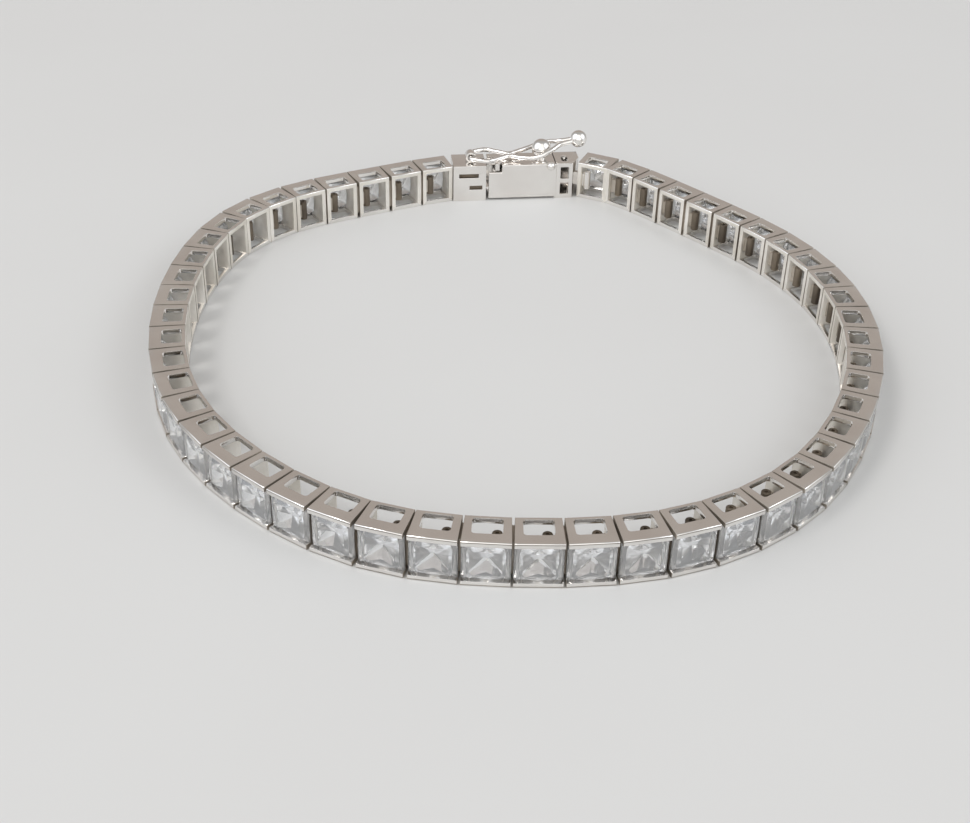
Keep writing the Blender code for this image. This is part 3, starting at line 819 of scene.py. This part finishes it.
def metal(name, light, dark, rough_low, rough_high, bump, grain):
    """White metal: clouded colour, uneven gloss and fine bumps."""
    material, tree, shader = new_material(name)
    shader.inputs["Metallic"].default_value = 1.0
    cloud(tree, shader, METAL_CLOUDS, 4.0, (dark, light), METAL_CLOUD_RANGE)
    smear = spread(tree, noise_of(tree, METAL_SMEARS, 3.0), rough_low, rough_high)
    tree.links.new(smear, shader.inputs["Roughness"])
    bumps = add(tree, "ShaderNodeBump", Strength=1.0, Distance=bump)
    tree.links.new(noise_of(tree, grain, 4.0), bumps.inputs["Height"])
    tree.links.new(bumps.outputs["Normal"], shader.inputs["Normal"])
    return material


def stone_material():
    material, tree, shader = new_material("clear_stone")
    shader.inputs["Transmission Weight"].default_value = STONE_TRANSMISSION
    shader.inputs["IOR"].default_value = STONE_IOR
    shader.inputs["Roughness"].default_value = 0.0
    cloud(tree, shader, STONE_CLOUDS, 1.0, STONE_COLOURS)
    return material


# Assembly

def add_piece(name, mesh, materials, body, nodes=()):
    mesh.name = name
    for material in materials:
        mesh.materials.append(material)
    mesh.transform(Matrix.Scale(MM, 4))
    piece = linked(bpy.data.objects.new(name, mesh))
    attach(piece, body)
    if nodes:
        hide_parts(*nodes)


def area_light(name, location, side, power, colour):
    """A square light that faces the bracelet."""
    data = bpy.data.lights.new(name, "AREA")
    data.shape = "RECTANGLE"
    data.size, data.size_y = side, side
    data.energy = power
    data.color = colour
    light = linked(bpy.data.objects.new(name, data))
    light.location = location
    light.rotation_mode = "QUATERNION"
    light.rotation_quaternion = (Vector() - Vector(location)).to_track_quat("-Z", "Y")


def build_camera(shift):
    data = bpy.data.cameras.new("camera")
    data.lens = FOCUS / PICTURE_WIDTH * SENSOR_WIDTH
    data.sensor_width = SENSOR_WIDTH
    data.clip_start, data.clip_end = CLIP
    camera = linked(bpy.data.objects.new("camera", data))
    x, y, z = CAMERA_AT
    camera.location = ((x + shift.x) * MM, (y + shift.y) * MM, z * MM)
    tilt = (Matrix.Rotation(math.radians(90 - CAMERA_DOWN), 3, "X")
            @ Matrix.Rotation(math.radians(CAMERA_ROLL), 3, "Z"))
    camera.rotation_euler = tilt.to_euler()
    bpy.context.scene.camera = camera


def build_room():
    """A pale room: soft windows at the sides and in front, a dimmer warm wall behind."""
    world = bpy.data.worlds.new("studio")
    bpy.context.scene.world = world
    world.use_nodes = True
    tree = world.node_tree
    background = tree.nodes["Background"]
    place = add(tree, "ShaderNodeTexCoord")
    colour = None
    for direction, rim, core, shade in ROOM_PATCHES:
        facing = add(tree, "ShaderNodeVectorMath", operation="DOT_PRODUCT")
        facing.inputs[1].default_value = Vector(direction).normalized()
        tree.links.new(place.outputs["Generated"], facing.inputs[0])
        amount = spread(tree, facing.outputs["Value"], 0.0, 1.0, rim, core)
        mix = add(tree, "ShaderNodeMix", data_type="RGBA")
        mix.inputs["B"].default_value = (*shade, 1)
        tree.links.new(amount, mix.inputs["Factor"])
        if colour is None:
            mix.inputs["A"].default_value = (*ROOM_COLOUR, 1)
        else:
            tree.links.new(colour, mix.inputs["A"])
        colour = mix.outputs["Result"]
    tree.links.new(colour, background.inputs["Color"])
    background.inputs["Strength"].default_value = ROOM_STRENGTH
    for light in LIGHTS:
        area_light(*light)


def build_stage():
    half = FLOOR_HALF
    mesh = make_mesh([(-half, -half, 0), (half, -half, 0), (half, half, 0), (-half, half, 0)],
                     [(0, 1, 2, 3)])
    floor = linked(bpy.data.objects.new("floor", mesh))
    material, tree, shader = new_material("floor")
    shader.inputs["Roughness"].default_value = FLOOR_ROUGHNESS
    cloud(tree, shader, FLOOR_CLOUDS, 3.0, FLOOR_COLOURS)
    mesh.materials.append(material)

    build_room()
    bpy.context.scene.view_settings.view_transform = "Standard"


def add_clasp(hinges, move, materials):
    """The clasp's two halves and its latch, from the last hinge line back to the first."""
    left, right = hinges[0], hinges[-1]
    place = move @ Matrix.Translation((left[0], left[1], 0)) @ heading(left, right)
    beyond = move @ link_place(right, 2 * right - hinges[-2])
    lug_place = place.inverted() @ beyond
    tongue = [tongue_base(), hinge_tube(), tongue_strip()]
    box = [clasp_box(), end_frame(), end_lug(lug_place)] + snap_meshes()
    swing = place @ Matrix.Translation((HINGE_AT, 0, HINGE_Z))
    for name, meshes, body, node, at in (
            ("clasp_tongue_metal", tongue, "bracelet", "clasp_tongue", place),
            ("clasp_box_metal", box, "bracelet", "clasp_box", place),
            ("safety_latch_wire", latch_meshes(), "latch", "safety_latch", swing)):
        whole = smooth(joined([(mesh, at) for mesh in meshes]))
        add_piece(name, whole, materials, body, [node])


def main():
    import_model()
    hinges = hinge_lines()
    shift = frame_shift(hinges)
    move = Matrix.Translation(shift)

    metals = [metal(name, *look) for name, look in METALS.items()]
    clear = stone_material()
    link, stone = setting(), cut_stone()
    for side, first in (("left", 0), ("right", LINKS_PER_HALF)):
        places = [move @ link_place(hinges[i], hinges[i + 1])
                  for i in range(first, first + LINKS_PER_HALF)]
        add_piece(f"settings_{side}", joined([(link, place) for place in places]), metals,
                  "bracelet", [f"chain_{side}"])
        add_piece(f"stones_{side}", joined([(stone, place) for place in places]), [clear],
                  "bracelet")
    # the clasp's second metal is the painted deep shade of its slits
    add_clasp(hinges, move, [metals[POLISHED], metals[PAINTED_DEEP_SHADE]])

    build_camera(shift)
    build_stage()


main()
